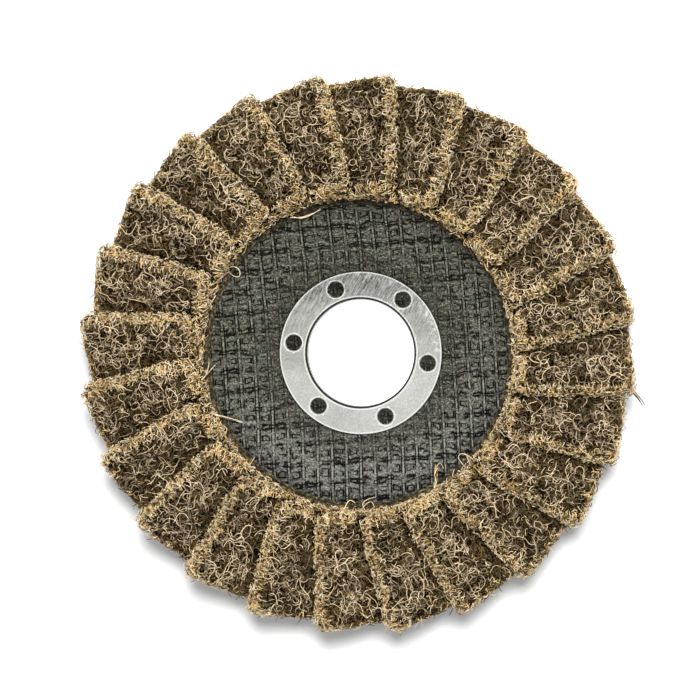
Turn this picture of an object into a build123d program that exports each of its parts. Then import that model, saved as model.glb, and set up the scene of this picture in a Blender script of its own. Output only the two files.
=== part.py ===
"""Non-woven flap disc for an angle grinder, 115 mm across with a 22.23 mm bore.

A pressed glass-fibre backing plate with a depressed centre carries a ring of adhesive, and
24 flaps of coarse non-woven abrasive web are laid in it like shingles. A sheet-metal centre
ring with a drawn collar lines the bore. Its six holes are filled by the plate's resin.

Units are millimetres. The origin is the centre of the bore in the plane of the hub's back
face, which bears on the grinder's flange. +Z runs along the bore towards the working face.
Seen from +Z, every flap lies on top of its clockwise neighbour.
"""

from build123d import *
from math import atan, radians, sin, sqrt, tan
import os

# Centre ring: a stamped washer with a drawn collar through the plate
BORE_DIAMETER = 22.23
RING_DIAMETER = 34.0
RING_SHEET = 0.7
RING_EDGE_CHAMFER = 0.15
BORE_EDGE_ROUND = 0.6
RING_SINK = 0.35
KEY_HOLES = 6
KEY_HOLE_DIAMETER = 3.2
KEY_HOLE_INSET = 2.85
KEY_HOLE_CHAMFER = 0.2
FIRST_KEY_HOLE_DEG = 51.5
MOULDING_GAP = 0.02

# Backing plate: glass mesh and resin pressed to a dished form
HUB_THICKNESS = 3.0
RIM_THICKNESS = 2.4
HUB_MARGIN = 4.8
SEAT_MARGIN = 1.0
PLATE_INSET = 4.0
DISH_DEPTH = 4.6
DISH_BEVEL = 1.2
RIM_EDGE_CHAMFER = 0.4
PLUG_RECESS = 0.3

# Threads of the glass mesh standing in relief on the hub and the wall of the dish
MESH_PITCH = 2.95
THREAD_WIDTH = 0.6
THREAD_HEIGHT = 0.3
MESH_TURN_DEG = 4.0
MESH_END_MARGIN = 0.5

# Adhesive: a thin bed under the flaps with a bead squeezed out at their inner ends
BED_THICKNESS = 0.5
BED_INSET = 0.9
BEAD_WIDTH = 0.5
BEAD_HEIGHT = 0.9
BEAD_GAP = 0.05
BEAD_CHAMFER = 0.3

# Flaps: rectangles of non-woven web, overlapping clockwise
DISC_DIAMETER = 115.0
FLAP_COUNT = 24
FLAP_INNER_RADIUS = 31.4
FLAP_LEAD_REACH = 8.2
FLAP_TOE_REACH = 14.6
FLAP_TILT_DEG = 21.8
FLAP_END_SKEW_DEG = 7.0
FLAP_END_LEAN = 2.0
TOE_THICKNESS = 0.6
FLAP_CORNER_CHAMFER = 0.9
FLAP_EDGE_CHAMFER = 0.8
FLAP_GAP = 0.05
FIRST_FLAP_DEG = 91.5

# Heights and radii that follow from the sizes above
BORE_RADIUS = BORE_DIAMETER / 2
COLLAR_RADIUS = BORE_RADIUS + RING_SHEET
RING_RADIUS = RING_DIAMETER / 2
KEY_CIRCLE_RADIUS = RING_RADIUS - KEY_HOLE_INSET
HUB_FLAT_RADIUS = RING_RADIUS + HUB_MARGIN
PLATE_RADIUS = DISC_DIAMETER / 2 - PLATE_INSET
BED_INNER_RADIUS = FLAP_INNER_RADIUS - BEAD_WIDTH
BED_OUTER_RADIUS = PLATE_RADIUS - BED_INSET
SEAT_INNER_RADIUS = BED_INNER_RADIUS - SEAT_MARGIN
RING_BACK_Z = HUB_THICKNESS - RING_SINK
RING_FACE_Z = RING_BACK_Z + RING_SHEET
SEAT_Z = HUB_THICKNESS + DISH_DEPTH
RIM_BACK_Z = SEAT_Z - RIM_THICKNESS
BED_Z = SEAT_Z + BED_THICKNESS
DISH_ANGLE = atan(DISH_DEPTH / (SEAT_INNER_RADIUS - HUB_FLAT_RADIUS))
FLAP_PITCH_DEG = 360 / FLAP_COUNT
FLAP_TILT = radians(FLAP_TILT_DEG)
FLAP_RISE = TOE_THICKNESS + (FLAP_TOE_REACH + FLAP_LEAD_REACH) * tan(FLAP_TILT)
FLAP_TOP_Z = BED_Z + FLAP_RISE
FLAP_FOOT_REACH = FLAP_LEAD_REACH + FLAP_RISE * tan(FLAP_TILT)
FLAP_OUTER_REACH = sqrt((DISC_DIAMETER / 2) ** 2 - FLAP_LEAD_REACH**2)
REACH = DISC_DIAMETER


def revolved(*outline):
    """A solid of revolution about Z, from a closed outline of (radius, height) points."""
    face = make_face(Plane.XZ * Polyline(*outline, close=True))
    return revolve(face, Axis.Z, 360)


def edges_on_circle(shape, radius, height):
    """The circular edges of one radius, centred on Z at one height."""
    found = shape.edges().filter_by(GeomType.CIRCLE)
    return found.filter_by(
        lambda e: abs(e.radius - radius) < 1e-4
        and abs(e.arc_center.Z - height) < 1e-4
        and abs(e.arc_center.X) + abs(e.arc_center.Y) < 1e-4
    )


def key_hole_places():
    """Where the ring's six holes stand on their circle."""
    step = 360 / KEY_HOLES
    return [
        Rot(0, 0, FIRST_KEY_HOLE_DEG + step * i) * Pos(KEY_CIRCLE_RADIUS, 0, 0)
        for i in range(KEY_HOLES)
    ]


def centre_ring():
    """The washer and its collar, one stamping: rounded at the bore, open at the six holes."""
    bend = BORE_EDGE_ROUND * (1 - sin(radians(45)))
    ring = revolved(
        (BORE_RADIUS, 0),
        (COLLAR_RADIUS, 0),
        (COLLAR_RADIUS, RING_BACK_Z),
        (RING_RADIUS, RING_BACK_Z),
        (RING_RADIUS, RING_FACE_Z),
        (BORE_RADIUS + BORE_EDGE_ROUND, RING_FACE_Z),
        (BORE_RADIUS + bend, RING_FACE_Z - bend),
        (BORE_RADIUS, RING_FACE_Z - BORE_EDGE_ROUND),
    )
    ring = chamfer(edges_on_circle(ring, RING_RADIUS, RING_FACE_Z), RING_EDGE_CHAMFER)
    hole = Cylinder(KEY_HOLE_DIAMETER / 2, RING_SHEET * 4)
    sink = Cone(
        KEY_HOLE_DIAMETER / 2,
        KEY_HOLE_DIAMETER / 2 + KEY_HOLE_CHAMFER,
        KEY_HOLE_CHAMFER,
        align=(Align.CENTER, Align.CENTER, Align.MAX),
    )
    for place in key_hole_places():
        ring -= Pos(0, 0, RING_FACE_Z) * place * hole
        ring -= Pos(0, 0, RING_FACE_Z) * place * sink
    return ring


def plate_outline_solid():
    """The plate's pressed form: hub, sloping wall of the dish and flat rim, all rounded."""
    half_turn = tan(DISH_ANGLE / 2)
    hub_back_radius = HUB_FLAT_RADIUS + HUB_THICKNESS * half_turn
    rim_back_radius = SEAT_INNER_RADIUS + RIM_THICKNESS * half_turn
    plate = revolved(
        (COLLAR_RADIUS + MOULDING_GAP, 0),
        (hub_back_radius, 0),
        (rim_back_radius, RIM_BACK_Z),
        (PLATE_RADIUS, RIM_BACK_Z),
        (PLATE_RADIUS, SEAT_Z),
        (SEAT_INNER_RADIUS, SEAT_Z),
        (HUB_FLAT_RADIUS, HUB_THICKNESS),
        (COLLAR_RADIUS + MOULDING_GAP, HUB_THICKNESS),
    )
    bends = edges_on_circle(plate, hub_back_radius, 0) + edges_on_circle(
        plate, rim_back_radius, RIM_BACK_Z
    )
    plate = chamfer(bends, DISH_BEVEL)
    rim = edges_on_circle(plate, PLATE_RADIUS, RIM_BACK_Z) + edges_on_circle(
        plate, PLATE_RADIUS, SEAT_Z
    )
    return chamfer(rim, RIM_EDGE_CHAMFER)


def mesh_bars(width, turn_deg):
    """Upright bars at the mesh's pitch, covering the part of the plate that shows."""
    count = int(BED_INNER_RADIUS / MESH_PITCH) + 1
    bar = Box(width, 2 * BED_INNER_RADIUS + MESH_PITCH, 4 * SEAT_Z)
    return Part() + [
        Rot(0, 0, turn_deg) * Pos((i + 0.5) * MESH_PITCH, 0, 0) * bar
        for i in range(-count - 1, count + 1)
    ]


def mesh_relief(form, height, width, turn_deg):
    """The plate's form lifted by one yarn's height, kept only along that set of yarns."""
    band = Cylinder(SEAT_INNER_RADIUS - MESH_END_MARGIN, 4 * SEAT_Z)
    band -= Cylinder(RING_RADIUS + MESH_END_MARGIN, 4 * SEAT_Z)
    lifted = (Pos(0, 0, height) * form) & band
    return lifted & mesh_bars(width, turn_deg)


def backing_plate():
    """The dished plate with its mesh in relief, the ring's seat and the six resin plugs."""
    form = plate_outline_solid()
    plate = form + mesh_relief(form, THREAD_HEIGHT, THREAD_WIDTH, MESH_TURN_DEG)
    seat_radius = RING_RADIUS + MOULDING_GAP
    plate -= Pos(0, 0, RING_BACK_Z) * Cylinder(
        seat_radius, RING_SINK * 2, align=(Align.CENTER, Align.CENTER, Align.MIN)
    )
    plug = Cylinder(
        KEY_HOLE_DIAMETER / 2 - MOULDING_GAP,
        RING_SHEET - PLUG_RECESS,
        align=(Align.CENTER, Align.CENTER, Align.MIN),
    )
    for place in key_hole_places():
        plate += Pos(0, 0, RING_BACK_Z) * place * plug
    return plate


def adhesive_bed():
    """The cured adhesive: a flat bed, with a sloping bead against the flaps' inner ends."""
    bead_outer = FLAP_INNER_RADIUS - BEAD_GAP
    bead_top = BED_Z + BEAD_HEIGHT - BED_THICKNESS
    bed = revolved(
        (BED_INNER_RADIUS, SEAT_Z),
        (BED_OUTER_RADIUS, SEAT_Z),
        (BED_OUTER_RADIUS, BED_Z),
        (bead_outer, BED_Z),
        (bead_outer, bead_top),
        (BED_INNER_RADIUS, bead_top),
    )
    return chamfer(edges_on_circle(bed, BED_INNER_RADIUS, bead_top), BEAD_CHAMFER)


def shingle_block(grow, reach_in, reach_out):
    """Everything under one flap's sloping top, with its centreline along +Y and the
    clockwise side at +X, from the toe to beyond the leading edge."""
    far = FLAP_LEAD_REACH + REACH
    toe = -FLAP_TOE_REACH - grow
    toe_top = BED_Z + TOE_THICKNESS + grow
    far_top = toe_top + (far - toe) * tan(FLAP_TILT)
    outline = Polyline(
        (toe, BED_Z - REACH), (toe, toe_top), (far, far_top), (far, BED_Z - REACH), close=True
    )
    side = make_face(Plane.XZ * outline)
    return Pos(0, reach_in, 0) * extrude(side, reach_out - reach_in, dir=(0, 1, 0))


def flap_wedge():
    """The flap's section, from its thin toe up to the crest and square down to the bed."""
    section = Polyline(
        (-FLAP_TOE_REACH, BED_Z),
        (-FLAP_TOE_REACH, BED_Z + TOE_THICKNESS),
        (FLAP_LEAD_REACH, FLAP_TOP_Z),
        (FLAP_FOOT_REACH, BED_Z),
        close=True,
    )
    return extrude(make_face(Plane.XZ * section), REACH, dir=(0, 1, 0))


def flap_ends():
    """Room between the flap's leaning inner end and its skewed outer end."""
    inner = Polyline(
        (FLAP_INNER_RADIUS, BED_Z),
        (FLAP_INNER_RADIUS + FLAP_END_LEAN, FLAP_TOP_Z),
        (REACH, FLAP_TOP_Z),
        (REACH, BED_Z),
        close=True,
    )
    lean = extrude(make_face(Plane.YZ * inner), REACH, both=True)
    lead_y = FLAP_OUTER_REACH
    toe_y = lead_y - (FLAP_LEAD_REACH + REACH) * tan(radians(FLAP_END_SKEW_DEG))
    far_y = lead_y + (REACH - FLAP_LEAD_REACH) * tan(radians(FLAP_END_SKEW_DEG))
    outer = Polyline((-REACH, 0), (-REACH, toe_y), (REACH, far_y), (REACH, 0), close=True)
    return lean & extrude(make_face(outer), FLAP_TOP_Z + REACH)


def flap_blank():
    """One flap before its underside is shaped, with softened corners and top edges."""
    blank = flap_wedge() & flap_ends()
    front = blank.faces().sort_by(Axis.X)[-1]
    corners = front.edges().sort_by(Axis.Y)
    blank = chamfer([corners[0], corners[-1]], FLAP_CORNER_CHAMFER)
    top = blank.faces().sort_by(Axis.Z)[-1]
    toe = top.edges().sort_by(Axis.X)[0]
    return chamfer([e for e in top.edges() if e != toe], FLAP_EDGE_CHAMFER)


def flap():
    """A flap whose underside lies on its clockwise neighbour, with its toe flat on the bed."""
    neighbour = Rot(0, 0, -FLAP_PITCH_DEG) * shingle_block(
        FLAP_GAP, FLAP_INNER_RADIUS / 2, REACH
    )
    return flap_blank() - neighbour


def write(shape, name):
    export_step(shape, f"parts/{name}.step")


def main():
    os.makedirs("parts", exist_ok=True)
    write(centre_ring(), "centre_ring")
    write(backing_plate(), "backing_plate")
    write(adhesive_bed(), "adhesive_bed")
    one = flap()
    for i in range(FLAP_COUNT):
        turn = FIRST_FLAP_DEG - 90 - FLAP_PITCH_DEG * i
        write(Rot(0, 0, turn) * one, f"flap_{i + 1:02d}")


main()
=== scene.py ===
"""Looks for a coarse non-woven flap disc: dished plate, metal ring, adhesive and 24 flaps."""

import math
import random
from bisect import bisect_left

import bmesh
import bpy
from bpy.props import FloatProperty, FloatVectorProperty, IntProperty, PointerProperty
from bpy.types import Operator, Panel, PropertyGroup
from mathutils import Matrix, Vector, noise
from mathutils.bvhtree import BVHTree


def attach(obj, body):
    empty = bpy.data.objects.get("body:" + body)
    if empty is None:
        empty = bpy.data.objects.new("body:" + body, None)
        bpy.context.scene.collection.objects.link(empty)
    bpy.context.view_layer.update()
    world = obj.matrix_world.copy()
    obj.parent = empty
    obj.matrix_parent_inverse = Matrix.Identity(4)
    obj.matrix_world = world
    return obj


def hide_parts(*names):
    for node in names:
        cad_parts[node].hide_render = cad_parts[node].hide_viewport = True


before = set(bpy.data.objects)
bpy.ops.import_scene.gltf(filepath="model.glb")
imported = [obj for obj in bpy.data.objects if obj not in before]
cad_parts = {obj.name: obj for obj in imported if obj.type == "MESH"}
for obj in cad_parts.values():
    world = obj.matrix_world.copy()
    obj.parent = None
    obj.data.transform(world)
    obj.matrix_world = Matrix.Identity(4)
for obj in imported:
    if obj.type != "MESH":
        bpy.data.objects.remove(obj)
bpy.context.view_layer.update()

bl_info = {
    "name": "Flap Disc",
    "version": (1, 0, 0),
    "blender": (4, 5, 0),
    "location": "View3D > Sidebar > Flap Disc",
    "description": "Dresses a non-woven flap disc: plate, ring, adhesive and web flaps",
    "category": "Object",
}

MM = 0.001

# Millimetres and degrees, as the solids have them
FLAP_COUNT = 24
FIRST_FLAP_DEG = 91.5
FLAP_PITCH_DEG = 15.0
CREST_REACH = 8.2
FOOT_REACH = 10.2
TOE_REACH = 14.6
FLAP_INNER = 31.4
MESH_TURN_DEG = 4.0
BORE_RADIUS = 11.115
RING_RADIUS = 17.0
KEY_HOLE_RADIUS = 1.6
KEY_CIRCLE_RADIUS = 14.15
FIRST_KEY_HOLE_DEG = 51.5
KEY_HOLE_STEP_DEG = 60.0
DISH_START, DISH_END = 19.0, 23.5

MATH = "ShaderNodeMath"
NOISE = "ShaderNodeTexNoise"
RANGE = "ShaderNodeMapRange"
RAMP = "ShaderNodeValToRGB"
MAPPING = "ShaderNodeMapping"


def linear(hex_colour):
    """An sRGB hex colour as linear red, green, blue and alpha."""
    parts = [int(hex_colour[i : i + 2], 16) / 255 for i in (1, 3, 5)]
    straight = [c / 12.92 if c <= 0.04045 else ((c + 0.055) / 1.055) ** 2.4 for c in parts]
    return (*straight, 1.0)


def shade(colour, factor):
    """A linear colour made darker or paler, with full alpha."""
    return (*(min(1.0, c * factor) for c in tuple(colour)[:3]), 1.0)


class FlapDiscWeb(PropertyGroup):
    face_fibres: IntProperty(
        name="Face fibres", description="Curled fibres on each flap's face", default=620, min=0
    )
    edge_fibres: IntProperty(
        name="Edge fibres", description="Short fibres on each flap's cut edges", default=880, min=0
    )
    rim_fibres: IntProperty(
        name="Rim fibres", description="Short fibres on each flap's outer end", default=270, min=0
    )
    loose_fibres: IntProperty(
        name="Loose fibres", description="Fibres that stand off each flap's edges", default=90, min=0
    )
    fibre_width: FloatProperty(
        name="Fibre width",
        description="Width of a grain-coated fibre",
        default=0.18 * MM,
        unit="LENGTH",
        subtype="DISTANCE",
    )
    face_colour: FloatVectorProperty(
        name="Face fibre colour",
        description="Pale grain-coated fibre on the face",
        default=linear("#e8d1af")[:3],
        subtype="COLOR",
    )
    edge_colour: FloatVectorProperty(
        name="Cut edge colour",
        description="Tan fibre where the web is cut",
        default=linear("#d8b987")[:3],
        subtype="COLOR",
    )
    core_colour: FloatVectorProperty(
        name="Core colour",
        description="Resin and grain deep in the web",
        default=linear("#412b14")[:3],
        subtype="COLOR",
    )
    grain_colour: FloatVectorProperty(
        name="Grain colour",
        description="Aluminium oxide grain caught between the fibres",
        default=linear("#8a7a56")[:3],
        subtype="COLOR",
    )


class FlapDiscPlate(PropertyGroup):
    thread_pitch: FloatProperty(
        name="Thread pitch",
        description="Spacing of the mesh's standing threads",
        default=2.95 * MM,
        unit="LENGTH",
        subtype="DISTANCE",
    )
    yarn_pitch: FloatProperty(
        name="Yarn pitch",
        description="Spacing of the mesh's crossing yarns",
        default=4.05 * MM,
        unit="LENGTH",
        subtype="DISTANCE",
    )
    resin_colour: FloatVectorProperty(
        name="Resin colour",
        description="Pressed resin over the glass mesh",
        default=linear("#4a4a40")[:3],
        subtype="COLOR",
    )


class FlapDiscStage(PropertyGroup):
    camera_distance: FloatProperty(
        name="Camera distance",
        description="From the middle of the disc to the camera",
        default=0.65,
        unit="LENGTH",
        subtype="DISTANCE",
    )
    key_power: FloatProperty(
        name="Key light", description="Power of the large soft light", default=14.0, unit="POWER"
    )


def add_node(tree, kind, inputs=None, stops=(), **settings):
    """Adds a node with its settings and links. An input takes a value, a socket, or a node for
    its first output; stops are a ramp's positions and colours."""
    node = tree.nodes.new(kind)
    for name, value in settings.items():
        setattr(node, name, value)
    for key, value in (inputs or {}).items():
        if isinstance(value, bpy.types.Node):
            value = value.outputs[0]
        if isinstance(value, bpy.types.NodeSocket):
            tree.links.new(value, node.inputs[key])
        else:
            node.inputs[key].default_value = value
    while len(stops) > 2 and len(node.color_ramp.elements) < len(stops):
        node.color_ramp.elements.new(0.5)
    for index, (position, colour) in enumerate(stops):
        node.color_ramp.elements[index].position = position
        node.color_ramp.elements[index].color = colour
    return node


def new_material(name, **surface):
    """A material with one Principled shader, whose plain values stand on its own sockets."""
    material = bpy.data.materials.new(name)
    material.use_nodes = True
    tree = material.node_tree
    shader = tree.nodes["Principled BSDF"]
    for key, value in surface.items():
        shader.inputs[key.replace("_", " ")].default_value = value
    return material, tree, shader


def finish_surface(tree, shader, colour, height, depth, strength=1.0):
    """Links a colour, and a bump of that height and depth in metres, to the shader."""
    bump = add_node(
        tree,
        "ShaderNodeBump",
        {"Height": height, "Distance": depth, "Strength": strength},
    )
    tree.links.new(colour.outputs[0], shader.inputs["Base Color"])
    tree.links.new(bump.outputs[0], shader.inputs["Normal"])


def grid_distance(tree, value, pitch):
    """How far a coordinate is from the middle of its step: 0 there and 0.5 at the step's ends."""
    steps = add_node(tree, MATH, {0: value, 1: pitch}, operation="DIVIDE")
    part = add_node(tree, MATH, {0: steps}, operation="FRACT")
    return add_node(tree, MATH, {0: part, 1: 0.5}, operation="PINGPONG")


def ring_mask(tree, radius, middle, half_width):
    """1 on a circle of that radius, falling smoothly to 0 at half a width on either side."""
    off = add_node(tree, MATH, {0: radius, 1: middle}, operation="SUBTRACT")
    off = add_node(tree, MATH, {0: off}, operation="ABSOLUTE")
    return add_node(
        tree,
        RANGE,
        {"Value": off, 1: 0.0, 2: half_width, 3: 1.0, 4: 0.0},
        interpolation_type="SMOOTHSTEP",
    )


# ---------------------------------------------------------------- materials


def pressed_glass_laminate(settings):
    """Phenolic resin pressed over open glass mesh: dark olive grey and slightly waxy, with
    standing threads that catch the light and ragged pits between the crossing yarns."""
    material, tree, shader = new_material(
        "pressed_glass_laminate", Roughness=0.46, Specular_IOR_Level=0.17
    )
    bare = add_node(tree, "ShaderNodeTexCoord").outputs["Object"]
    # One unit of the patterns is a millimetre, along and across the mesh
    turned = {"Vector": bare, "Scale": (1 / MM, 1 / MM, 1 / MM)}
    turned["Rotation"] = (0, 0, -math.radians(MESH_TURN_DEG))
    place = add_node(tree, MAPPING, turned)
    wander = add_node(tree, NOISE, {"Vector": place, "Scale": 0.35, "Detail": 2.0})
    drift = add_node(tree, MATH, {0: wander, 1: 2.4, 2: -1.2}, operation="MULTIPLY_ADD")
    # Cloth lint and resin grain are 0.1 mm across, and are drawn as 0.4 mm so that they show
    fine = add_node(tree, NOISE, {"Vector": place, "Scale": 2.6, "Detail": 3.0, "Roughness": 0.7})
    patches = add_node(tree, NOISE, {"Vector": place, "Scale": 0.55, "Detail": 3.0})
    ragged = add_node(tree, RANGE, {"Value": patches, 1: 0.40, 2: 0.56})
    axes = add_node(tree, "ShaderNodeSeparateXYZ", {"Vector": place})
    from_column = grid_distance(tree, axes.outputs["X"], settings.thread_pitch / MM)
    along = add_node(tree, MATH, {0: axes.outputs["Y"], 1: drift}, operation="ADD")
    from_row = grid_distance(tree, along, settings.yarn_pitch / MM)
    from_half_row = grid_distance(tree, along, settings.yarn_pitch / MM / 2)
    faint = add_node(tree, RANGE, {"Value": patches, 1: 0.38, 2: 0.62, 3: 0.12, 4: 0.75})
    # A standing thread dips under each yarn that crosses it
    dips = add_node(tree, RANGE, {"Value": from_half_row, 1: 0.26, 2: 0.42, 3: 1.25, 4: 0.2})
    stands = add_node(tree, MATH, {0: faint, 1: dips}, operation="MULTIPLY")
    thread = add_node(tree, RANGE, {"Value": from_column, 1: 0.41, 2: 0.48, 4: stands})
    yarn = add_node(tree, RANGE, {"Value": from_half_row, 1: 0.42, 2: 0.49, 4: 0.5})
    raised = add_node(tree, MATH, {0: thread, 1: yarn}, operation="MAXIMUM")
    # Ragged grooves run beside the yarns and threads, with a square pit in each opening
    groove = ring_mask(tree, from_row, 0.42, 0.07)
    beside = ring_mask(tree, from_column, 0.38, 0.06)
    square = add_node(tree, MATH, {0: from_column, 1: from_half_row}, operation="MAXIMUM")
    knot = ring_mask(tree, square, 0.24, 0.08)
    cut = add_node(tree, MATH, {0: groove, 1: knot}, operation="MAXIMUM")
    cut = add_node(tree, MATH, {0: cut, 1: beside}, operation="MAXIMUM")
    cut = add_node(tree, MATH, {0: cut, 1: ragged}, operation="MULTIPLY")
    level = add_node(tree, "ShaderNodeVectorMath", {0: bare, 1: (1, 1, 0)}, operation="MULTIPLY")
    radius = add_node(tree, "ShaderNodeVectorMath", {0: level}, operation="LENGTH")
    radius = radius.outputs["Value"]
    # The mesh shows least on the hub, where the resin is thickest, and fully on the wall
    dish = add_node(tree, RANGE, {"Value": radius, 1: DISH_START * MM, 2: DISH_END * MM, 3: 0.45})
    relief = add_node(tree, MATH, {0: cut, 1: -1.6, 2: raised}, operation="MULTIPLY_ADD")
    relief = add_node(tree, MATH, {0: relief, 1: dish}, operation="MULTIPLY")
    # A painted sheen makes it paler, greyer and its relief harder towards the bottom
    painted_sheen_mask = add_node(tree, RANGE, {"Value": axes.outputs["Y"], 1: -30, 2: 4, 3: 1.0, 4: 0.0})
    gain = add_node(tree, MATH, {0: painted_sheen_mask, 1: 0.085, 2: 0.19}, operation="MULTIPLY_ADD")
    height = add_node(tree, MATH, {0: fine, 1: 1.2, 2: relief}, operation="MULTIPLY_ADD")
    # Pale flecks of dust and worn resin, 0.4 mm across
    specks = add_node(tree, NOISE, {"Vector": place, "Scale": 2.4, "Detail": 2.0})
    specks = add_node(tree, RANGE, {"Value": specks, 1: 0.56, 2: 0.72, 4: 0.15})
    # The resin lies deepest and darkest in the ring's six holes, partly as painted shade in them,
    # and a painted shadow runs just outside the ring's edge
    plugs_and_ring_shade = add_node(tree, RANGE, {"Value": radius, 1: 17.0 * MM, 2: 17.4 * MM, 3: -0.12, 4: 0.0})
    # Painted light: paler from the dish wall outwards than on the hub
    lit = add_node(tree, RANGE, {"Value": dish, 1: 0.45, 2: 1.0, 3: 0.045, 4: 0.12})
    # Painted shade on the plate close to the webs, deeper towards the bottom
    fall = add_node(tree, MATH, {0: painted_sheen_mask, 1: -0.08, 2: -0.04}, operation="MULTIPLY_ADD")
    near = add_node(tree, RANGE, {"Value": radius, 1: 27 * MM, 2: 30.5 * MM, 3: 0.0, 4: fall})
    tone = add_node(tree, MATH, {0: plugs_and_ring_shade, 1: lit}, operation="ADD")
    tone = add_node(tree, MATH, {0: tone, 1: near}, operation="ADD")
    relief = add_node(tree, MATH, {0: relief, 1: gain}, operation="MULTIPLY")
    tone = add_node(tree, MATH, {0: relief, 1: tone}, operation="ADD")
    tone = add_node(tree, MATH, {0: painted_sheen_mask, 1: 0.055, 2: tone}, operation="MULTIPLY_ADD")
    tone = add_node(tree, MATH, {0: specks, 1: tone}, operation="ADD")
    tone = add_node(tree, MATH, {0: fine, 1: 0.95, 2: tone}, operation="MULTIPLY_ADD")
    resin = settings.resin_colour
    colour = add_node(
        tree,
        RAMP,
        {"Fac": tone},
        stops=[
            (0.30, shade(resin, 0.06)),
            (0.48, shade(resin, 0.50)),
            (0.62, shade(resin, 1.45)),
            (0.82, linear("#9c9c8f")),
        ],
    )
    hue = add_node(tree, RANGE, {"Value": wander, 1: 0.35, 2: 0.65, 3: 0.46, 4: 0.54})
    rich = add_node(tree, RANGE, {"Value": fine, 1: 0.35, 2: 0.65, 3: 1.4, 4: 0.9})
    rich = add_node(tree, MATH, {0: painted_sheen_mask, 1: -0.5, 2: rich}, operation="MULTIPLY_ADD")
    colour = add_node(
        tree, "ShaderNodeHueSaturation", {"Hue": hue, "Saturation": rich, "Color": colour}
    )
    finish_surface(tree, shader, colour, height, 0.3 * MM)
    return material


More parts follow.
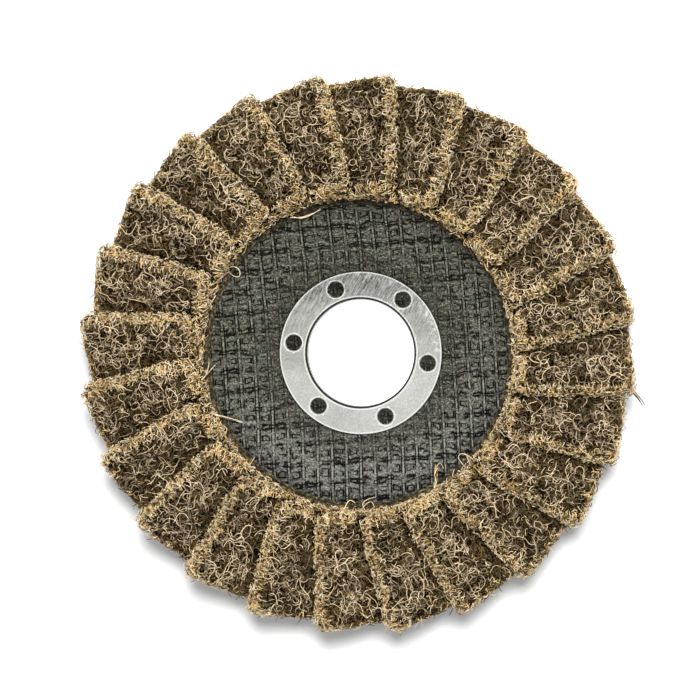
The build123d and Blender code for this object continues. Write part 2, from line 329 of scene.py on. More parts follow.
def plated_sheet_steel():
    """Stamped steel with a bright plating, drawn over a fine abrasive belt: mid grey with slanting
    hairlines, painted highlights at its rims and round the holes, painted shade at the bore's rolled
    edge, and a painted reflection that is darker at the top."""
    material, tree, shader = new_material("plated_sheet_steel", Metallic=1.0, Roughness=0.42)
    bare = add_node(tree, "ShaderNodeTexCoord").outputs["Object"]
    # Hairlines stand 0.22 mm apart, coarser than a belt leaves them, so that they show
    slanted = {"Vector": bare, "Scale": (0.22 * MM, 1.8 * MM, 1 * MM)}
    slanted["Rotation"] = (0, 0, math.radians(-28))
    slanted = add_node(tree, MAPPING, slanted, vector_type="TEXTURE")
    lines = add_node(tree, NOISE, {"Vector": slanted, "Scale": 1.0, "Detail": 3.0})
    place = add_node(tree, MAPPING, {"Vector": bare, "Scale": (1 / MM, 1 / MM, 1 / MM)})
    cloud = add_node(tree, NOISE, {"Vector": place, "Scale": 0.14, "Detail": 4.0})
    axes = add_node(tree, "ShaderNodeSeparateXYZ", {"Vector": place})
    # A painted reflection: darker at the top and paler at the bottom
    painted_reflection = add_node(tree, RANGE, {"Value": axes.outputs["Y"], 1: -5.0, 2: 13.0, 3: 0.44, 4: -0.39})
    drawn = add_node(tree, RANGE, {"Value": axes.outputs["Y"], 1: -2.0, 2: 10.0, 3: 0.10, 4: 1.10})
    drawn = add_node(tree, MATH, {0: lines, 1: drawn}, operation="MULTIPLY")
    tone = add_node(tree, MATH, {0: cloud, 1: 0.35, 2: painted_reflection}, operation="MULTIPLY_ADD")
    tone = add_node(tree, MATH, {0: drawn, 1: tone}, operation="ADD")
    level = add_node(tree, "ShaderNodeVectorMath", {0: place, 1: (1, 1, 0)}, operation="MULTIPLY")
    radius = add_node(tree, "ShaderNodeVectorMath", {0: level}, operation="LENGTH")
    radius = radius.outputs["Value"]
    # Resin has chipped away unevenly, in bites of a millimetre, round each hole, and a painted
    # highlight runs round each hole's rim
    grain = add_node(tree, NOISE, {"Vector": place, "Scale": 1.1, "Detail": 4.0, "Roughness": 0.7})
    hole = key_hole_distance(tree, axes, radius)
    chipped = add_node(tree, MATH, {0: grain, 1: 1.1, 2: hole}, operation="MULTIPLY_ADD")
    bright = ring_mask(tree, chipped, KEY_HOLE_RADIUS + 0.75, 0.4)
    chipped = add_node(tree, RANGE, {"Value": chipped, 1: 2.0, 2: 2.2, 3: -0.9, 4: 0.0})
    tone = add_node(tree, MATH, {0: tone, 1: chipped}, operation="ADD")
    # Painted highlights on the ring's outer edge and on the shoulder of the bore's round
    outer = ring_mask(tree, radius, RING_RADIUS - 0.25, 0.25)
    shoulder = ring_mask(tree, radius, BORE_RADIUS + 0.64, 0.24)
    bright = add_node(tree, MATH, {0: bright, 1: outer}, operation="MAXIMUM")
    bright = add_node(tree, MATH, {0: bright, 1: shoulder}, operation="MAXIMUM")
    tone = add_node(tree, MATH, {0: bright, 1: 0.55, 2: tone}, operation="MULTIPLY_ADD")
    # Handling has scuffed it bright near its outer edge, on one side
    side = add_node(tree, MATH, {0: axes.outputs["X"], 1: axes.outputs["Y"]}, operation="ADD")
    side = add_node(tree, RANGE, {"Value": side, 1: 12.0, 2: 18.0, 4: 0.35})
    scuffed = add_node(tree, RANGE, {"Value": grain, 1: 0.50, 2: 0.60, 4: side})
    handled = ring_mask(tree, radius, RING_RADIUS - 1.0, 1.3)
    tone = add_node(tree, MATH, {0: scuffed, 1: handled, 2: tone}, operation="MULTIPLY_ADD")
    # Painted shade on the top of the bore's rolled edge
    rolled = ring_mask(tree, radius, BORE_RADIUS + 0.14, 0.42)
    top = add_node(tree, RANGE, {"Value": axes.outputs["Z"], 1: 2.6, 2: 2.8, 4: -1.8})
    tone = add_node(tree, MATH, {0: rolled, 1: top, 2: tone}, operation="MULTIPLY_ADD")
    # Halfway down, the collar's wall lies in its own shade
    shaded = ring_mask(tree, axes.outputs["Z"], 1.1, 1.0)
    tone = add_node(tree, MATH, {0: shaded, 1: -0.9, 2: tone}, operation="MULTIPLY_ADD")
    # Dust and plating grain a third of a millimetre across, and a few pits 4 to 5 mm apart
    grit = add_node(tree, NOISE, {"Vector": place, "Scale": 3.2, "Detail": 2.0})
    tone = add_node(tree, MATH, {0: grit, 1: 0.5, 2: tone}, operation="MULTIPLY_ADD")
    tone = add_node(tree, MATH, {0: tone, 1: 0.25}, operation="SUBTRACT")
    pits = add_node(tree, "ShaderNodeTexVoronoi", {"Vector": place, "Scale": 0.45})
    pit = add_node(tree, RANGE, {"Value": pits, 1: 0.03, 2: 0.08, 3: -0.35, 4: 0.0})
    tone = add_node(tree, MATH, {0: tone, 1: pit}, operation="ADD")
    colour = add_node(
        tree,
        RAMP,
        {"Fac": tone},
        stops=[
            (0.02, linear("#262624")),
            (0.25, linear("#8c8c88")),
            (0.65, linear("#cfcfca")),
            (0.95, linear("#fbfbf7")),
        ],
    )
    finish_surface(tree, shader, colour, lines, 0.012 * MM, 0.6)
    return material


def key_hole_distance(tree, axes, radius):
    """How far a place on the ring is from the nearest key hole's axis, in millimetres."""
    angle = add_node(
        tree, MATH, {0: axes.outputs["Y"], 1: axes.outputs["X"]}, operation="ARCTAN2"
    )
    angle = add_node(
        tree, MATH, {0: angle, 1: math.radians(FIRST_KEY_HOLE_DEG)}, operation="SUBTRACT"
    )
    half = math.radians(KEY_HOLE_STEP_DEG / 2)
    angle = add_node(tree, MATH, {0: angle, 1: half, 2: -half}, operation="WRAP")
    cosine = add_node(tree, MATH, {0: angle}, operation="COSINE")
    sine = add_node(tree, MATH, {0: angle}, operation="SINE")
    out = add_node(tree, MATH, {0: radius, 1: cosine}, operation="MULTIPLY")
    aside = add_node(tree, MATH, {0: radius, 1: sine}, operation="MULTIPLY")
    out = add_node(tree, MATH, {0: out, 1: KEY_CIRCLE_RADIUS}, operation="SUBTRACT")
    offset = add_node(tree, "ShaderNodeCombineXYZ", {"X": out, "Y": aside})
    length = add_node(tree, "ShaderNodeVectorMath", {0: offset}, operation="LENGTH")
    return length.outputs["Value"]


def cured_epoxy():
    """Squeezed-out epoxy that has cured dark over grain and lint: satin, with lumps about
    three quarters of a millimetre across."""
    material, tree, shader = new_material("cured_epoxy", Roughness=0.5, Specular_IOR_Level=0.15)
    bare = add_node(tree, "ShaderNodeTexCoord").outputs["Object"]
    place = add_node(tree, MAPPING, {"Vector": bare, "Scale": (1 / MM, 1 / MM, 1 / MM)})
    lumps = add_node(
        tree, NOISE, {"Vector": place, "Scale": 1.3, "Detail": 4.0, "Roughness": 0.65}
    )
    colour = add_node(
        tree,
        RAMP,
        {"Fac": lumps},
        stops=[
            (0.36, linear("#1b1710")),
            (0.52, linear("#403b2d")),
            (0.66, linear("#857757")),
        ],
    )
    finish_surface(tree, shader, colour, lumps, 0.4 * MM)
    return material


def winding_lines(tree, place, scale, half_width):
    """1 along thin lines that curl at random over a surface, and 0 away from them."""
    field = add_node(tree, NOISE, {"Vector": place, "Scale": scale, "Detail": 1.0})
    return ring_mask(tree, field, 0.5, half_width)


def coated_web(name, core, grain, tones):
    """The inside of a needled nylon web, coated in resin and aluminium oxide grain: dark pits,
    partly dark resin and partly painted shade, dull specks and the deep fibres that curl between
    them."""
    material, tree, shader = new_material(name, Roughness=0.85, Specular_IOR_Level=0.03)
    bare = add_node(tree, "ShaderNodeTexCoord").outputs["Object"]
    place = add_node(tree, MAPPING, {"Vector": bare, "Scale": (1 / MM, 1 / MM, 1 / MM)})
    # The grain is 0.15 mm across, and is drawn as 0.33 mm so that it shows
    specks = add_node(
        tree, NOISE, {"Vector": place, "Scale": 3.0, "Detail": 3.0, "Roughness": 0.75}
    )
    cloud = add_node(tree, NOISE, {"Vector": place, "Scale": 0.3, "Detail": 2.0})
    # Deep fibres curl round hollows 1.8, 1.0 and 0.6 mm wide
    wide = winding_lines(tree, place, 0.55, 0.055)
    close = winding_lines(tree, place, 0.95, 0.075)
    fine = winding_lines(tree, place, 1.6, 0.09)
    curls = add_node(tree, MATH, {0: wide, 1: close}, operation="MAXIMUM")
    curls = add_node(tree, MATH, {0: fine, 1: 0.8, 2: curls}, operation="MULTIPLY_ADD")
    tone = add_node(tree, MATH, {0: cloud, 1: 0.45, 2: -0.66}, operation="MULTIPLY_ADD")
    tone = add_node(tree, MATH, {0: curls, 1: 0.30, 2: tone}, operation="MULTIPLY_ADD")
    tone = add_node(tree, MATH, {0: specks, 1: 1.6, 2: tone}, operation="MULTIPLY_ADD")
    # The darkest tones stand for resin and grain deep in the web and also for painted shade there
    deep, low, high, top = tones
    stops = [
        (0.30, shade(core, deep)),
        (0.48, shade(core, low)),
        (0.64, shade(grain, high)),
        (0.84, shade(grain, top)),
    ]
    colour = add_node(tree, RAMP, {"Fac": tone}, stops=stops)
    finish_surface(tree, shader, colour, tone, 0.6 * MM)
    return material


def coated_fibre(name, colour, dark, light):
    """Crimped nylon fibre in resin and fine grain: satin, with darker and paler specks 0.4 mm
    long, pinkish where the resin is bare and olive where the grain is thick."""
    material, tree, shader = new_material(name, Roughness=0.65, Specular_IOR_Level=0.08)
    bare = add_node(tree, "ShaderNodeTexCoord").outputs["Object"]
    place = add_node(tree, MAPPING, {"Vector": bare, "Scale": (1 / MM, 1 / MM, 1 / MM)})
    specks = add_node(
        tree, NOISE, {"Vector": place, "Scale": 2.6, "Detail": 2.0, "Roughness": 0.7}
    )
    patch = add_node(tree, NOISE, {"Vector": place, "Scale": 0.22, "Detail": 2.0})
    tone = add_node(tree, MATH, {0: specks, 1: 0.55}, operation="MULTIPLY")
    tone = add_node(tree, MATH, {0: patch, 1: 0.5, 2: tone}, operation="MULTIPLY_ADD")
    stops = [(0.36, shade(colour, dark)), (0.54, shade(colour, 1)), (0.72, shade(colour, light))]
    ramp = add_node(tree, RAMP, {"Fac": tone}, stops=stops)
    tint = add_node(tree, NOISE, {"Vector": place, "Scale": 0.8, "Detail": 2.0})
    hue = add_node(tree, RANGE, {"Value": tint, 1: 0.35, 2: 0.65, 3: 0.489, 4: 0.514})
    rich = add_node(tree, RANGE, {"Value": specks, 1: 0.35, 2: 0.65, 3: 1.3, 4: 0.8})
    tinted = add_node(
        tree, "ShaderNodeHueSaturation", {"Hue": hue, "Saturation": rich, "Color": ramp}
    )
    tree.links.new(tinted.outputs[0], shader.inputs["Base Color"])
    return material


def web_materials(settings):
    """The web's core and fibre finishes, in the order of their slots."""
    face = settings.face_colour
    edge = settings.edge_colour
    core = settings.core_colour
    grain = settings.grain_colour
    return [
        coated_web("coated_web_core", core, grain, (0.01, 0.08, 0.12, 1.0)),
        coated_fibre("resin_fibre_deep", shade(core, 0.25), 0.3, 1.8),
        coated_fibre("resin_fibre_middle", shade(core, 1.3), 0.3, 2.4),
        coated_fibre("resin_fibre_pale", shade(face, 1.25), 0.45, 1.1),
        coated_fibre("cut_fibre_tan", shade(edge, 1.25), 0.45, 1.3),
        coated_fibre("cut_fibre_brown", shade(edge, 0.30), 0.35, 2.0),
        coated_fibre("cut_fibre_dark", shade(edge, 0.05), 0.4, 1.8),
        coated_web("cut_web_edge", shade(edge, 0.30), edge, (0.01, 0.14, 0.38, 1.4)),
        coated_fibre("cut_fibre_cream", linear("#fcebcb"), 0.75, 1.0),
        coated_fibre("resin_fibre_dull", shade(edge, 0.18), 0.35, 2.3),
        coated_fibre("resin_fibre_soft", shade(face, 0.6), 0.40, 1.5),
    ]


# ---------------------------------------------------------------- shapes


def paint(obj, material):
    """Gives an object one material in place of what it had."""
    obj.data.materials.clear()
    obj.data.materials.append(material)


def link_piece(name, mesh, slot, *nodes):
    """A new piece at the origin that rides the disc and stands for those nodes."""
    obj = bpy.data.objects.new(name, mesh)
    bpy.context.scene.collection.objects.link(obj)
    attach(obj, "root")
    if nodes:
        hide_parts(*nodes)
    return obj


def flap_turn(index):
    """How far a flap's own frame, with its centreline along +Y, is turned about the bore."""
    return math.radians(FIRST_FLAP_DEG - 90 - FLAP_PITCH_DEG * index)


def remeshed(source, voxel):
    """A closed, evenly divided copy of a CAD node's mesh."""
    carrier = bpy.data.objects.new("remesh_carrier", source.data.copy())
    bpy.context.scene.collection.objects.link(carrier)
    joined = bmesh.new()
    joined.from_mesh(carrier.data)
    bmesh.ops.remove_doubles(joined, verts=joined.verts, dist=1e-6)
    joined.to_mesh(carrier.data)
    joined.free()
    modifier = carrier.modifiers.new("Remesh", "REMESH")
    modifier.mode = "VOXEL"
    modifier.voxel_size = voxel
    modifier.adaptivity = 0.0
    evaluated = carrier.evaluated_get(bpy.context.evaluated_depsgraph_get())
    mesh = bpy.data.meshes.new_from_object(evaluated)
    bpy.data.objects.remove(carrier)
    return mesh


# How deep the core lies under the fibres, and where it thins out to the flap's toe, in mm
CORE_SINK = 0.6
FOOT_SINK = 0.1
END_SINK = 0.25
RIM_SINK = 0.98
TOE_TAPER = 4.0
# The size of the core's facets, in mm
CORE_VOXEL = 1.1


def web_body(node, seed, turn):
    """The flap's core as a bmesh: its solid's form, softened, sunk and made uneven."""
    inverse = Matrix.Rotation(-turn, 3, "Z")
    mesh = remeshed(node, CORE_VOXEL * MM)
    body = bmesh.new()
    body.from_mesh(mesh)
    bpy.data.meshes.remove(mesh)
    bmesh.ops.smooth_vert(
        body, verts=body.verts, factor=0.5, use_axis_x=True, use_axis_y=True, use_axis_z=True
    )
    body.normal_update()
    offset = Vector((seed * 7.3, seed * 3.1, 0))
    for vert in body.verts:
        place = vert.co / MM
        # Swells 3 mm apart with lumps 1 mm apart on them
        coarse = noise.noise(place * 0.35 + offset)
        fine = noise.noise(place * 1.1 + offset)
        local = inverse @ place
        room = min(1.0, max(0.0, (local.x + TOE_REACH) / TOE_TAPER))
        lying = inverse @ vert.normal
        sunk = CORE_SINK
        if lying.z < -0.5:
            sunk = FOOT_SINK
        elif lying.y < -0.5:
            sunk = END_SINK
        elif lying.y > 0.6:
            sunk = RIM_SINK
        lift = 0.16 * coarse + 0.22 * fine - sunk
        vert.co += vert.normal * lift * room * MM
    body.normal_update()
    return body


# Widths of the tan bands on the face beside each cut edge, in millimetres
INNER_BAND = 3.2
CREST_BAND = 1.0
CORNER_BAND = 4.0
# The material slot of the core where the web is cut
EDGE_CORE_SLOT = 7


def step_distance(point):
    """How far a point on a flap's face is from the flap that lies over it, in millimetres."""
    pitch = math.radians(FLAP_PITCH_DEG)
    return point.x - (FOOT_REACH - point.y * math.sin(pitch)) / math.cos(pitch)


def surface_class(normal, point):
    """Which part of a flap a point is on, in the flap's own frame, in millimetres: hidden,
    open face, outer rim, or cut edge with the tan band beside it."""
    if normal.z < -0.35 or (normal.x < -0.7 and point.x < -10):
        return None
    if normal.z < 0.80:
        return "rim" if normal.y > 0.6 and point.x < CREST_REACH - CORNER_BAND else "edge"
    if step_distance(point) < -0.3:
        return None
    ragged = 0.5 * noise.noise(point * 0.9)
    near_inner = point.y < FLAP_INNER + INNER_BAND + ragged
    near_crest = point.x > CREST_REACH - CREST_BAND + ragged
    return "edge" if near_inner or near_crest else "face"


def triangle_draws(body, turn):
    """The body's outer triangles by class, as (area, corners, normal) with running sums."""
    inverse = Matrix.Rotation(-turn, 3, "Z")
    draws = {"face": [], "edge": [], "rim": []}
    sums = {"face": [], "edge": [], "rim": []}
    triangles = body.calc_loop_triangles()
    for loops in triangles:
        corners = [loop.vert.co for loop in loops]
        middle = (corners[0] + corners[1] + corners[2]) / 3
        face_normal = loops[0].face.normal
        kind = surface_class(inverse @ face_normal, (inverse @ middle) / MM)
        if kind is None:
            continue
        if kind == "edge":
            loops[0].face.material_index = EDGE_CORE_SLOT
        area = (corners[1] - corners[0]).cross(corners[2] - corners[0]).length / 2
        if kind == "edge":
            area *= 0.5 + 0.5 * max(0.0, face_normal.z)
        total = sums[kind][-1] if sums[kind] else 0.0
        draws[kind].append((corners, face_normal))
        sums[kind].append(total + area)
    return draws, sums


def draw_start(draws, sums, kind, rng):
    """A random point on one class of surface, spread evenly by area, and its normal."""
    pick = rng.random() * sums[kind][-1]
    corners, normal = draws[kind][bisect_left(sums[kind], pick)]
    a, b = sorted((rng.random(), rng.random()))
    point = corners[0] * a + corners[1] * (b - a) + corners[2] * (1 - b)
    return point, normal


def fibre_path(tree, start, normal, rng, shape, stays):
    """Points of one crimped fibre that wanders over the surface, curling as it goes, for as
    long as stays(point, normal) is true."""
    length, step, crimp, low, high, _, _ = shape
    length *= rng.uniform(0.6, 1.35)
    side = normal.orthogonal().normalized()
    heading = Matrix.Rotation(rng.uniform(0, 2 * math.pi), 3, normal) @ side
    lean = rng.uniform(-0.7, 0.7) * crimp
    swing = rng.uniform(0.2, 1.1) * crimp
    turns = 2 * math.pi / rng.uniform(2.6, 7.5)
    phase = rng.uniform(0, 2 * math.pi)
    wave = rng.uniform(0.5, 1.1)
    level = rng.uniform(low, high)
    points = []
    point = start
    for index in range(int(length / step) + 1):
        found, up, _, _ = tree.find_nearest(point)
        if index > 1 and not stays(found, up):
            break
        rise = level + 0.22 * math.sin(phase + wave * index)
        points.append(found + up * rise * MM)
        heading = (heading - up * heading.dot(up)).normalized()
        bend = lean + swing * math.sin(phase + turns * step * index)
        heading = Matrix.Rotation(bend * step, 3, up) @ heading
        point = found + heading * step * MM
    return points


def loose_path(start, normal, rng, step):
    """Points of one short fibre that stands off an edge and hooks back."""
    side = Matrix.Rotation(rng.uniform(0, 2 * math.pi), 3, normal) @ normal.orthogonal()
    heading = (normal + side.normalized() * rng.uniform(0.2, 1.2)).normalized()
    axis = heading.cross(side).normalized()
    count = rng.randint(3, 6)
    bend = rng.uniform(0.5, 2.6) / count
    point = start - normal * 0.2 * MM
    points = [point]
    for _ in range(count):
        point = point + heading * step * MM
        points.append(point)
        heading = Matrix.Rotation(bend, 3, axis) @ heading
    return points


def add_strand(curve, points, slot, width=1.0):
    """One fibre as a spline of the curve, thinner at its two ends."""
    spline = curve.splines.new("POLY")
    spline.points.add(len(points) - 1)
    spline.points.foreach_set("co", [c for p in points for c in (*p, 1.0)])
    spline.points.foreach_set("radius", [width] * len(points))
    spline.points[0].radius = spline.points[-1].radius = 0.6 * width
    spline.material_index = slot


def strand_profile(width):
    """A small closed triangle, the section that every fibre is swept with."""
    curve = bpy.data.curves.new("fibre_section", "CURVE")
    curve.dimensions = "2D"
    spline = curve.splines.new("POLY")
    spline.points.add(2)
    for i, point in enumerate(spline.points):
        angle = 2 * math.pi * i / 3
        point.co = (math.cos(angle) * width / 2, math.sin(angle) * width / 2, 0, 1)
    spline.use_cyclic_u = True
    return bpy.data.objects.new("fibre_section", curve)


def strands_mesh(name, profile, materials, fill):
    """A mesh of the fibres that fill() adds to a curve."""
    curve = bpy.data.curves.new(name, "CURVE")
    for material in materials:
        curve.materials.append(material)
    curve.dimensions = "3D"
    curve.bevel_mode = "OBJECT"
    curve.bevel_object = profile
    curve.use_fill_caps = True
    fill(curve)
    carrier = bpy.data.objects.new(name, curve)
    bpy.context.scene.collection.objects.link(carrier)
    evaluated = carrier.evaluated_get(bpy.context.evaluated_depsgraph_get())
    mesh = bpy.data.meshes.new_from_object(evaluated)
    bpy.data.objects.remove(carrier)
    bpy.data.curves.remove(curve)
    return mesh


# Each layer: share of the fibres, length and step in mm, crimp in radians a millimetre, lowest
# and highest level over the core in mm, width, and material slot
# Lower layers take darker slots, partly for resin and grain and partly as painted shade deep in the
# web
FACE_LAYERS = (
    (0.10, 6.0, 0.95, 0.9, 0.10, 0.50, 1.15, 1),
    (0.22, 1.8, 0.60, 1.8, 0.10, 0.60, 0.95, 2),
    (0.16, 4.5, 0.70, 1.3, 0.25, 0.60, 0.80, 9),
    (0.15, 1.6, 0.50, 2.0, 0.30, 0.70, 0.80, 9),
    (0.13, 1.8, 0.45, 2.2, 0.35, 0.75, 0.75, 10),
    (0.06, 5.5, 0.50, 1.3, 0.45, 0.85, 0.75, 10),
    (0.14, 1.7, 0.40, 2.6, 0.40, 0.85, 0.74, 3),
    (0.04, 5.5, 0.50, 1.3, 0.55, 1.00, 0.78, 3),
)
EDGE_LAYERS = (
    (0.13, 1.0, 0.45, 2.4, 0.50, 0.90, 1.10, 6),
    (0.17, 1.1, 0.45, 2.6, 0.25, 0.75, 1.05, 5),
    (0.40, 1.0, 0.33, 3.4, 0.35, 0.90, 1.00, 4),
    (0.30, 0.9, 0.30, 3.8, 0.50, 1.05, 0.95, 8),
)
RIM_LAYERS = (
    (0.30, 1.6, 0.50, 1.8, 0.15, 0.65, 1.25, 6),
    (0.34, 1.5, 0.45, 2.0, 0.25, 0.70, 1.25, 5),
    (0.22, 1.3, 0.40, 2.4, 0.35, 0.85, 1.15, 4),
    (0.14, 1.6, 0.45, 2.2, 0.35, 0.85, 1.10, 9),
)
# One face fibre in this many runs on over the tan bands
CROSSING = 4
FLAP_SEED = 4100
# Fibres are duller within about this many mm of the foot of the step, as painted shade under the
# flap above, from a full width this far out from the inner end
STEP_SHADE = 1.8
STEP_SHADE_FULL = 14
STEP_SLOTS = {3: 9, 10: 9}
# At the inner end most of its dark fibres are a step paler
PALER_SHARE = 0.7
INNER_SLOTS = {6: 5, 5: 4}
# Where loose fibres stand, in what slots, and how far apart their bends are in mm
LOOSE_KINDS = ("edge", "rim", "rim")
LOOSE_SLOTS = (3, 4, 4, 5, 5, 2)
LOOSE_STEP = 0.48


def fibre_slot(kind, slot, place, rng):
    """The material slot of a fibre: duller at the foot of the step as painted shade, paler at the
    inner end.
    """
    outwards = place.y - FLAP_INNER
    reach = STEP_SHADE * rng.uniform(0.3, 1.4) * min(1.0, outwards / STEP_SHADE_FULL)
    if kind == "face" and step_distance(place) < reach:
        return STEP_SLOTS.get(slot, slot)
    if kind == "edge" and outwards < INNER_BAND and rng.random() < PALER_SHARE:
        return INNER_SLOTS.get(slot, slot)
    return slot


def web_flap(index, profile, materials, settings):
    """One flap: its core and all of its fibres in one mesh."""
    name = f"flap_{index + 1:02d}"
    rng = random.Random(FLAP_SEED + index)
    turn = flap_turn(index)
    body = web_body(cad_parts[name], index, turn)
    draws, sums = triangle_draws(body, turn)
    tree = BVHTree.FromBMesh(body)
    inverse = Matrix.Rotation(-turn, 3, "Z")

    def on_face(point, normal):
        return surface_class(inverse @ normal, (inverse @ point) / MM) == "face"

    def anywhere(point, normal):
        return True

    def fill(curve):
        layers = [("face", settings.face_fibres, layer) for layer in FACE_LAYERS]
        layers += [("edge", settings.edge_fibres, layer) for layer in EDGE_LAYERS]
        layers += [("rim", settings.rim_fibres, layer) for layer in RIM_LAYERS]
        for kind, count, (share, *shape) in layers:
            for _ in range(round(count * share)):
                start, normal = draw_start(draws, sums, kind, rng)
                held = kind == "face" and rng.randrange(CROSSING)
                stays = on_face if held else anywhere
                points = fibre_path(tree, start, normal, rng, shape, stays)
                place = (inverse @ start) / MM
                width = shape[-2] * rng.uniform(0.8, 1.15)
                add_strand(curve, points, fibre_slot(kind, shape[-1], place, rng), width)
        for _ in range(settings.loose_fibres):
            start, normal = draw_start(draws, sums, rng.choice(LOOSE_KINDS), rng)
            over_plate = (inverse @ normal).y < -0.6
            step = rng.uniform(0.25, 0.75) if over_plate else LOOSE_STEP
            points = loose_path(start, normal, rng, step)
            add_strand(curve, points, rng.choice(LOOSE_SLOTS), rng.uniform(0.7, 1.0))

    fibres = strands_mesh(name + "_fibres", profile, materials, fill)
    body.from_mesh(fibres)
    mesh = bpy.data.meshes.new(name + "_web")
    for material in materials:
        mesh.materials.append(material)
    for face in body.faces:
        face.smooth = True
    body.to_mesh(mesh)
    body.free()
    bpy.data.meshes.remove(fibres)
    return link_piece(name + "_web", mesh, "abrasive_web", name)


# Loose fibres that lie on the plate or stand off the rim: how many lie side by side, their
# width, material slots, and points in mm from the web that holds them to the free end
STRAY_FIBRES = (
    (3, 1.7, (8, 3), ((-31.0, -12.0, 12.0), (-29.2, -12.6, 10.8), (-27.0, -13.4, 9.4),
                      (-24.4, -14.4, 7.9))),
    (1, 1.9, (3,), ((-32.0, -5.4, 13.0), (-30.9, -4.0, 11.0), (-29.7, -2.4, 8.6))),
    (1, 1.7, (3,), ((-31.3, -4.6, 12.0), (-30.9, -3.2, 10.5), (-30.9, -1.9, 9.4))),
    (16, 1.2, (4, 6, 8, 5), ((15.8, -28.2, 10.0), (16.0, -26.3, 9.0), (16.0, -24.6, 8.4),
                             (16.3, -23.1, 8.0))),
    (1, 1.2, (3,), ((16.0, -23.8, 8.6), (16.4, -22.6, 8.4), (17.2, -22.4, 8.6),
                    (17.6, -23.6, 8.9))),
    (1, 1.2, (3,), ((24.4, -22.4, 10.6), (23.4, -21.2, 9.6), (21.4, -20.3, 9.0),
                    (20.4, -21.2, 8.6), (21.6, -22.8, 9.0), (23.0, -24.2, 10.8))),
    (4, 1.3, (9, 4), ((23.6, -23.0, 10.4), (22.8, -21.8, 9.4), (22.6, -20.9, 8.9))),
    (1, 1.3, (4,), ((-29.4, -14.6, 10.2), (-27.6, -14.9, 8.9), (-27.1, -16.2, 8.6),
                    (-28.2, -17.3, 9.4))),
    (1, 1.1, (3,), ((-28.2, 16.9, 10.8), (-26.2, 18.2, 9.6), (-24.6, 17.4, 8.4),
                    (-24.6, 15.7, 7.9), (-26.2, 15.9, 8.3), (-27.0, 17.2, 9.2))),
    (1, 1.3, (3,), ((-29.8, 14.4, 10.4), (-28.4, 15.5, 9.6), (-26.8, 16.8, 9.4))),
    (2, 1.4, (3,), ((-14.2, 28.4, 10.0), (-12.4, 27.9, 8.9), (-10.2, 28.6, 8.8),
                    (-8.0, 30.0, 9.8))),
    (1, 1.2, (3,), ((-2.9, -33.0, 11.0), (-2.6, -31.2, 9.8), (-1.6, -29.9, 8.8),
                    (-0.6, -30.8, 9.2))),
    (1, 1.1, (3,), ((0.2, -33.0, 10.8), (1.4, -31.0, 9.8), (3.0, -30.2, 9.0),
                    (3.4, -31.6, 9.6))),
    (1, 1.1, (3,), ((2.4, -33.2, 10.6), (0.6, -31.4, 9.8), (1.6, -30.0, 8.8),
                    (3.6, -29.6, 8.4))),
    (5, 1.5, (2, 5, 9, 3), ((55.6, -6.6, 14.0), (57.4, -8.0, 14.4), (58.6, -9.9, 14.2))),
)
# How far strays that lie side by side are apart, in mm
STRAY_SPREAD = 0.45
STRAY_SEED = 77


def lay_strays(curve):
    """Adds each stray fibre to the curve as a smooth line through its bends."""
    rng = random.Random(STRAY_SEED)
    for count, width, slots, points in STRAY_FIBRES:
        spread = STRAY_SPREAD if count > 1 else 0.0
        for index in range(count):
            spline = curve.splines.new("NURBS")
            spline.points.add(len(points) - 1)
            for target, place in zip(spline.points, points):
                place = [(c + rng.uniform(-spread, spread)) * MM for c in place]
                target.co = (*place, 1)
                target.radius = width
            spline.points[-1].radius = 0.6 * width
            spline.order_u = 3
            spline.use_endpoint_u = True
            spline.resolution_u = 6
            spline.material_index = slots[index % len(slots)]


# ---------------------------------------------------------------- stage


# The sheet lies this many mm under the disc, so that it never cuts the hub's back face, and
# reaches this many metres each way
FLOOR_DROP = 0.02
FLOOR_REACH = 3.0


def build_floor():
    """A wide white sheet that fades to plain white for the camera and keeps the shadow."""
    form = bmesh.new()
    lowered = Matrix.Translation((0, 0, -FLOOR_DROP * MM))
    bmesh.ops.create_grid(form, x_segments=1, y_segments=1, size=FLOOR_REACH, matrix=lowered)
    mesh = bpy.data.meshes.new("floor_sheet")
    form.to_mesh(mesh)
    form.free()
    floor = bpy.data.objects.new("floor_sheet", mesh)
    bpy.context.scene.collection.objects.link(floor)
    material, tree, shader = new_material("white_paper_sheet", Roughness=0.9)
    shader.inputs["Base Color"].default_value = linear("#f4f4f4")
    path = add_node(tree, "ShaderNodeLightPath").outputs
    direct = {0: path["Is Camera Ray"], 1: path["Is Glossy Ray"]}
    seen = add_node(tree, MATH, direct, operation="MAXIMUM")
    # A painted glow, strongest near the middle, keeps the sheet white where it shows through the
    # bore and lifts the shadow there, and the shadow stays outside
    place = add_node(tree, "ShaderNodeTexCoord").outputs["Object"]
    radius = add_node(tree, "ShaderNodeVectorMath", {0: place}, operation="LENGTH")
    radius = radius.outputs["Value"]
    lift = add_node(tree, RANGE, {"Value": radius, 1: 25 * MM, 2: 45 * MM, 3: 0.75, 4: 0.08})
    strength = add_node(tree, MATH, {0: seen, 1: lift}, operation="MULTIPLY")
    glow = add_node(tree, "ShaderNodeEmission", {"Color": (1, 1, 1, 1), "Strength": strength})
    sheet = add_node(
        tree,
        "ShaderNodeAddShader",
        {0: shader.outputs["BSDF"], 1: glow.outputs["Emission"]},
    )
    # Seen from below, the sheet isn't there
    under = add_node(tree, "ShaderNodeNewGeometry").outputs["Backfacing"]
    under = add_node(tree, MATH, {0: under, 1: path["Is Camera Ray"]}, operation="MULTIPLY")
    clear = add_node(tree, "ShaderNodeBsdfTransparent")
    total = add_node(tree, "ShaderNodeMixShader", {0: under, 1: sheet, 2: clear})
    output = tree.nodes["Material Output"]
    tree.links.new(total.outputs["Shader"], output.inputs["Surface"])
    mesh.materials.append(material)


# How strongly the pale surround lights the disc; it is plain white where it is seen
SURROUND = 0.40
LAMP_SIZE = 0.35
LAMP_PLACE = (0.10, 0.30, 0.95)


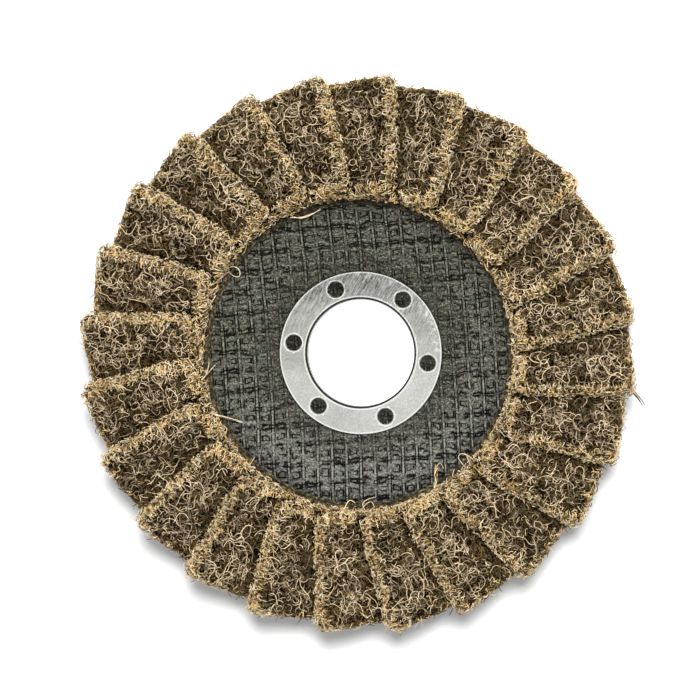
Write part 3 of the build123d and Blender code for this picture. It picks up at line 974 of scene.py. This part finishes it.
def build_lights(settings):
    """One large soft light from the upper right and an even pale surround."""
    world = bpy.data.worlds.new("pale_surround")
    bpy.context.scene.world = world
    world.use_nodes = True
    tree = world.node_tree
    tree.nodes["Background"].inputs["Color"].default_value = (1, 1, 1, 1)
    path = add_node(tree, "ShaderNodeLightPath").outputs
    direct = {0: path["Is Camera Ray"], 1: path["Is Glossy Ray"]}
    seen = add_node(tree, MATH, direct, operation="MAXIMUM")
    level = {0: seen, 1: 1.0 - SURROUND, 2: SURROUND}
    strength = add_node(tree, MATH, level, operation="MULTIPLY_ADD")
    tree.links.new(strength.outputs[0], tree.nodes["Background"].inputs["Strength"])
    lamp = bpy.data.lights.new("key_softbox", "AREA")
    lamp.shape = "DISK"
    lamp.size = LAMP_SIZE
    lamp.energy = settings.key_power
    key = bpy.data.objects.new("key_softbox", lamp)
    bpy.context.scene.collection.objects.link(key)
    key.location = LAMP_PLACE
    key.visible_glossy = False
    key.rotation_mode = "QUATERNION"
    key.rotation_quaternion = (Vector((0, 0, 0)) - key.location).to_track_quat("-Z", "Y")


# How far the camera stands to the right of square on and above it, in degrees
CAMERA_RIGHT_DEG = 5.2
CAMERA_UP_DEG = 1.5
# The middle of its view, and the size of one of its pixels there, in mm
CAMERA_AIM = (-2.2, 0.6, 3.35)
VIEW_PIXELS = 700
PIXEL_SIZE = 0.2078
SENSOR_WIDTH = 36.0


def build_camera(settings):
    """A long lens almost square on to the face, a little to the right and above."""
    lens = bpy.data.cameras.new("camera")
    camera = bpy.data.objects.new("camera", lens)
    bpy.context.scene.collection.objects.link(camera)
    right, up = math.radians(CAMERA_RIGHT_DEG), math.radians(CAMERA_UP_DEG)
    back = Vector((math.sin(right), math.sin(up), 0))
    back.z = math.sqrt(1 - back.length_squared)
    aim = Vector([c * MM for c in CAMERA_AIM])
    camera.location = aim + back * settings.camera_distance
    across = Vector((0, 1, 0)).cross(back).normalized()
    axes = Matrix((across, back.cross(across), back)).transposed()
    camera.rotation_mode = "QUATERNION"
    camera.rotation_quaternion = axes.to_quaternion()
    lens.sensor_width = SENSOR_WIDTH
    half_view = VIEW_PIXELS / 2 * PIXEL_SIZE * MM
    lens.lens = SENSOR_WIDTH / 2 * settings.camera_distance / half_view
    lens.clip_start = 0.01
    lens.clip_end = 20.0
    bpy.context.scene.camera = camera


# ---------------------------------------------------------------- operators


class FLAPDISC_OT_plate(Operator):
    """Finish the pressed backing plate"""

    bl_idname = "flapdisc.plate"
    bl_label = "Backing plate"

    def execute(self, context):
        settings = context.scene.flapdisc_plate
        paint(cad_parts["backing_plate"], pressed_glass_laminate(settings))
        return {"FINISHED"}


class FLAPDISC_OT_ring(Operator):
    """Finish the stamped centre ring"""

    bl_idname = "flapdisc.ring"
    bl_label = "Centre ring"

    def execute(self, context):
        paint(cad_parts["centre_ring"], plated_sheet_steel())
        return {"FINISHED"}


class FLAPDISC_OT_adhesive(Operator):
    """Finish the adhesive bed and its bead"""

    bl_idname = "flapdisc.adhesive"
    bl_label = "Adhesive"

    def execute(self, context):
        paint(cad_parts["adhesive_bed"], cured_epoxy())
        return {"FINISHED"}


class FLAPDISC_OT_flaps(Operator):
    """Build the 24 flaps of non-woven web and the fibres that have come loose from them"""

    bl_idname = "flapdisc.flaps"
    bl_label = "Flaps"

    def execute(self, context):
        settings = context.scene.flapdisc_web
        materials = web_materials(settings)
        profile = strand_profile(settings.fibre_width)
        for index in range(FLAP_COUNT):
            web_flap(index, profile, materials, settings)
        strays = strands_mesh("stray_fibres", profile, materials, lay_strays)
        link_piece("stray_fibres", strays, "abrasive_web")
        return {"FINISHED"}


class FLAPDISC_OT_stage(Operator):
    """Set the floor, the soft light and the camera"""

    bl_idname = "flapdisc.stage"
    bl_label = "Stage"

    def execute(self, context):
        settings = context.scene.flapdisc_stage
        build_floor()
        build_lights(settings)
        build_camera(settings)
        context.scene.view_settings.view_transform = "Standard"
        return {"FINISHED"}


class FLAPDISC_PT_panel(Panel):
    """Lists the pieces that can be made"""

    bl_idname = "FLAPDISC_PT_panel"
    bl_label = "Flap Disc"
    bl_space_type = "VIEW_3D"
    bl_region_type = "UI"
    bl_category = "Flap Disc"

    def draw(self, context):
        for kind in PIECE_OPERATORS:
            self.layout.operator(kind.bl_idname)
        scene = context.scene
        for group in (scene.flapdisc_web, scene.flapdisc_plate, scene.flapdisc_stage):
            for name in group.__annotations__:
                self.layout.prop(group, name)


PIECE_OPERATORS = (
    FLAPDISC_OT_plate,
    FLAPDISC_OT_ring,
    FLAPDISC_OT_adhesive,
    FLAPDISC_OT_flaps,
    FLAPDISC_OT_stage,
)
CLASSES = (FlapDiscWeb, FlapDiscPlate, FlapDiscStage, *PIECE_OPERATORS, FLAPDISC_PT_panel)


def register():
    for kind in CLASSES:
        bpy.utils.register_class(kind)
    bpy.types.Scene.flapdisc_web = PointerProperty(type=FlapDiscWeb)
    bpy.types.Scene.flapdisc_plate = PointerProperty(type=FlapDiscPlate)
    bpy.types.Scene.flapdisc_stage = PointerProperty(type=FlapDiscStage)


def unregister():
    del bpy.types.Scene.flapdisc_stage
    del bpy.types.Scene.flapdisc_plate
    del bpy.types.Scene.flapdisc_web
    for kind in reversed(CLASSES):
        bpy.utils.unregister_class(kind)


def main():
    register()
    bpy.ops.flapdisc.plate()
    bpy.ops.flapdisc.ring()
    bpy.ops.flapdisc.adhesive()
    bpy.ops.flapdisc.flaps()
    bpy.ops.flapdisc.stage()


if __name__ == "__main__":
    main()
